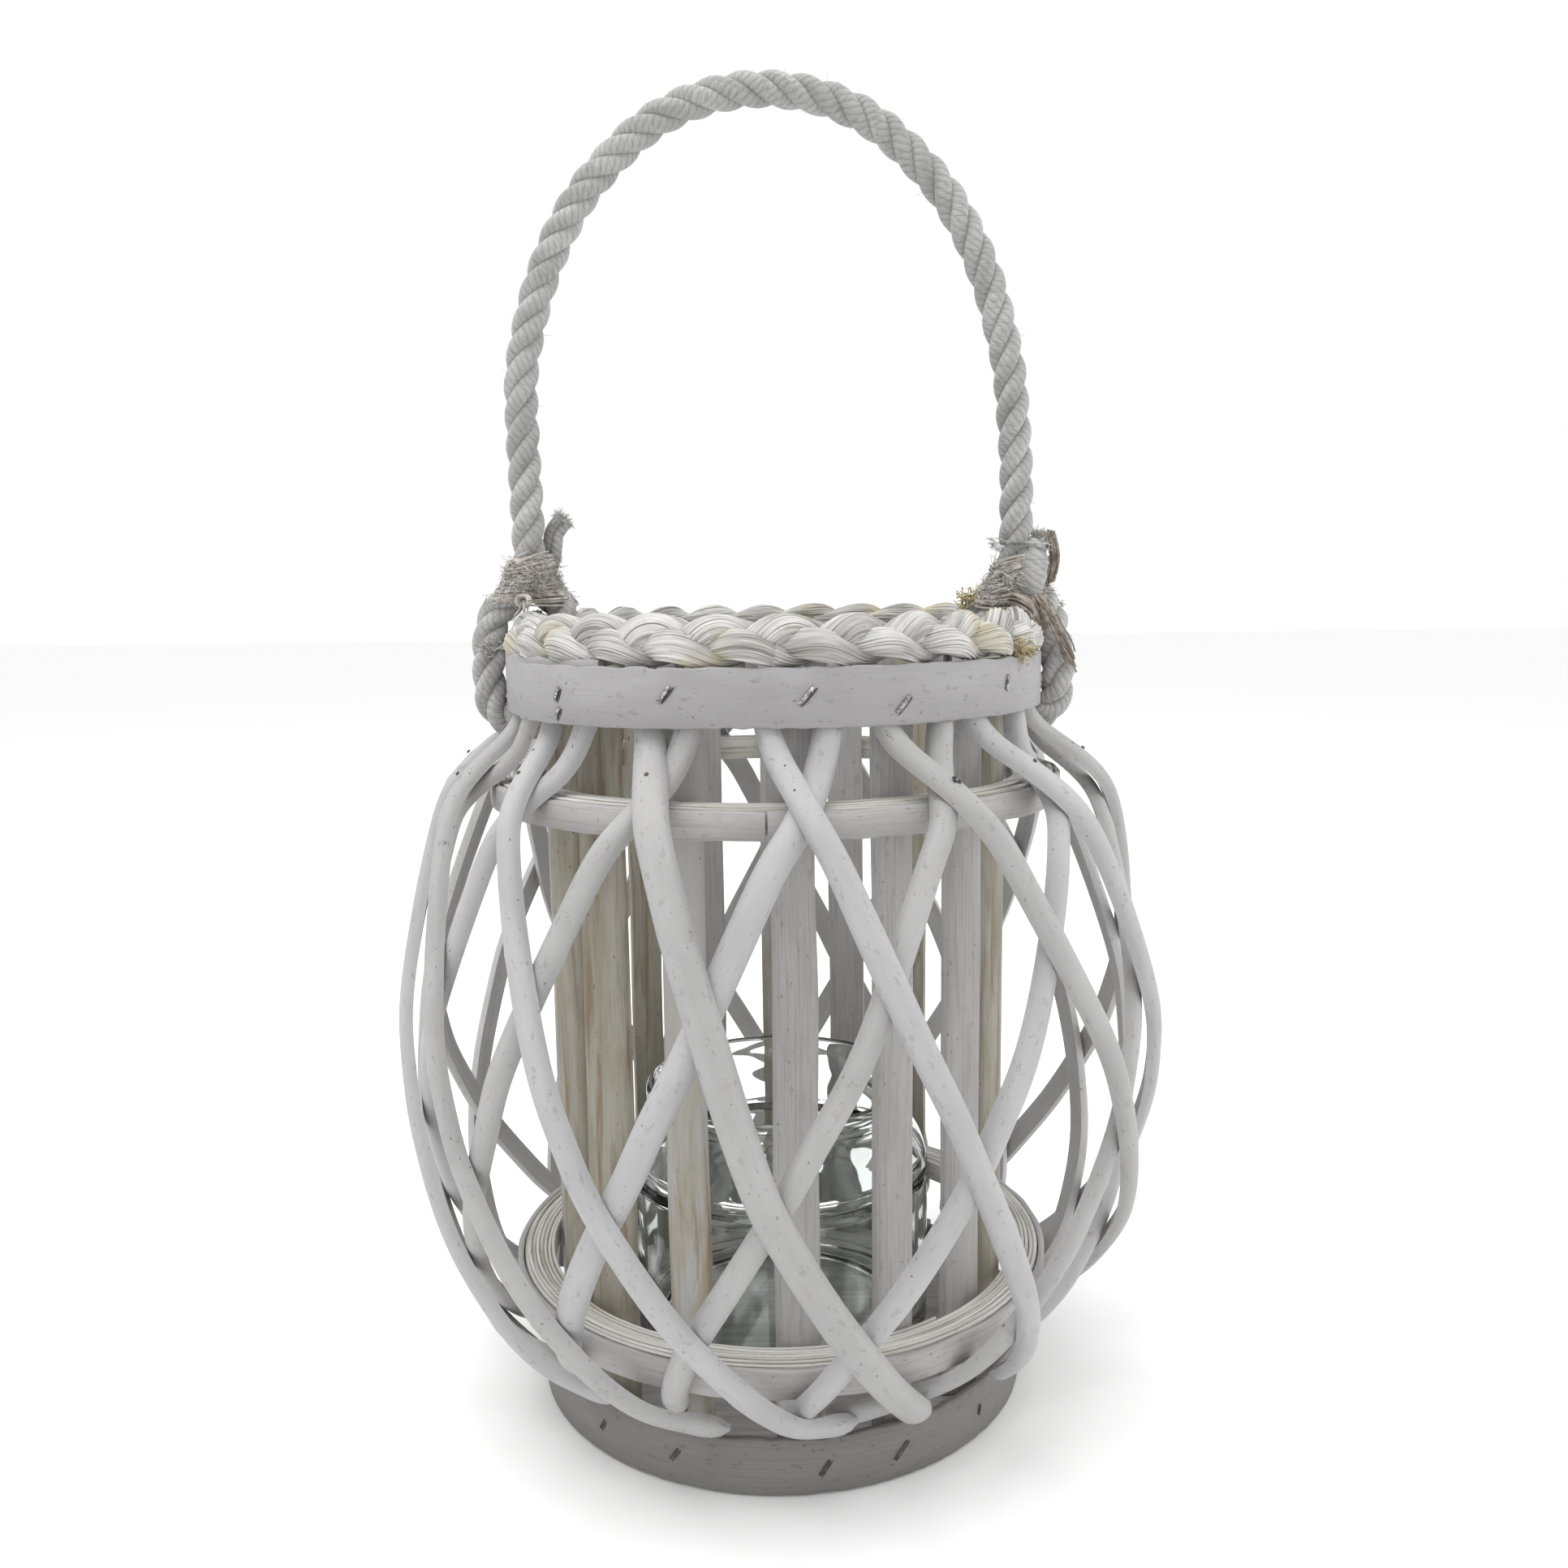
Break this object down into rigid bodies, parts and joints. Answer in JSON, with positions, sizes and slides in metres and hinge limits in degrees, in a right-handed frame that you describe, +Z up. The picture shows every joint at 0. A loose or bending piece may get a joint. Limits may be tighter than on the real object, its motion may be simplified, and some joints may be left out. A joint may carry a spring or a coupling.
{
  "type": "hurricane candle lantern",
  "caption": "Whitewashed willow lattice lantern with upright slats, a plaited straw rim, a rope handle and a pale green glass candle jar.",
  "frame": {"origin": "centre of the foot band's bottom rim, on the surface that the lantern stands on", "axes": "+Z up along the lantern's axis, +X towards the right-hand end of the rope handle, -Y towards the front"},
  "size_m": [0.2355, 0.2361, 0.4022],
  "materials": {
    "willow": "matte whitewash",
    "slat_wood": "worn whitewash",
    "band_wood": "matte whitewash",
    "board": "matte paint",
    "straw": "painted, matte",
    "rope": "fibrous",
    "twine": "fibrous",
    "glass": "clear, gloss"
  },
  "bodies": {
    "basket": {"lattice_cane_outer_01": "willow", "lattice_cane_outer_02": "willow", "lattice_cane_outer_03": "willow", "lattice_cane_outer_04": "willow", "lattice_cane_outer_05": "willow", "lattice_cane_outer_06": "willow", "lattice_cane_outer_07": "willow", "lattice_cane_outer_08": "willow", "lattice_cane_outer_09": "willow", "lattice_cane_outer_10": "willow", "lattice_cane_outer_11": "willow", "lattice_cane_outer_12": "willow", "lattice_cane_outer_13": "willow", "lattice_cane_outer_14": "willow", "lattice_cane_inner_01": "willow", "lattice_cane_inner_02": "willow", "lattice_cane_inner_03": "willow", "lattice_cane_inner_04": "willow", "lattice_cane_inner_05": "willow", "lattice_cane_inner_06": "willow", "lattice_cane_inner_07": "willow", "lattice_cane_inner_08": "willow", "lattice_cane_inner_09": "willow", "lattice_cane_inner_10": "willow", "lattice_cane_inner_11": "willow", "lattice_cane_inner_12": "willow", "lattice_cane_inner_13": "willow", "upright_slat_01": "slat_wood", "upright_slat_02": "slat_wood", "upright_slat_03": "slat_wood", "upright_slat_04": "slat_wood", "upright_slat_05": "slat_wood", "upright_slat_06": "slat_wood", "upright_slat_07": "slat_wood", "upright_slat_08": "slat_wood", "upright_slat_09": "slat_wood", "upright_slat_10": "slat_wood", "upright_slat_11": "slat_wood", "upright_slat_12": "slat_wood", "upright_slat_13": "slat_wood", "upright_slat_14": "slat_wood", "upright_slat_15": "slat_wood", "upright_slat_16": "slat_wood", "top_band": "band_wood", "foot_band": "band_wood", "middle_hoop_splints": "band_wood", "middle_hoop_strip": "band_wood", "bottom_hoop_splints": "band_wood", "bottom_hoop_strip": "band_wood", "base_board": "board", "braided_rim": "straw", "rope_loop_left": "rope", "rope_loop_right": "rope", "rope_tail_left": "rope", "rope_tail_right": "rope", "whipping_left": "twine", "whipping_right": "twine"},
    "handle": {"rope_handle": "rope"},
    "jar": {"glass_jar": "glass"}
  },
  "joints": [
    {"name": "handle_swing", "type": "hinge", "parent": "basket", "child": "handle", "pos_m": [0, 0, 0.27], "axis": [1, 0, 0], "range_deg": [-100, 100]},
    {"name": "jar_lift", "type": "slide", "parent": "basket", "child": "jar", "axis": [0, 0, 1], "range_m": [0, 0.25]}
  ]
}
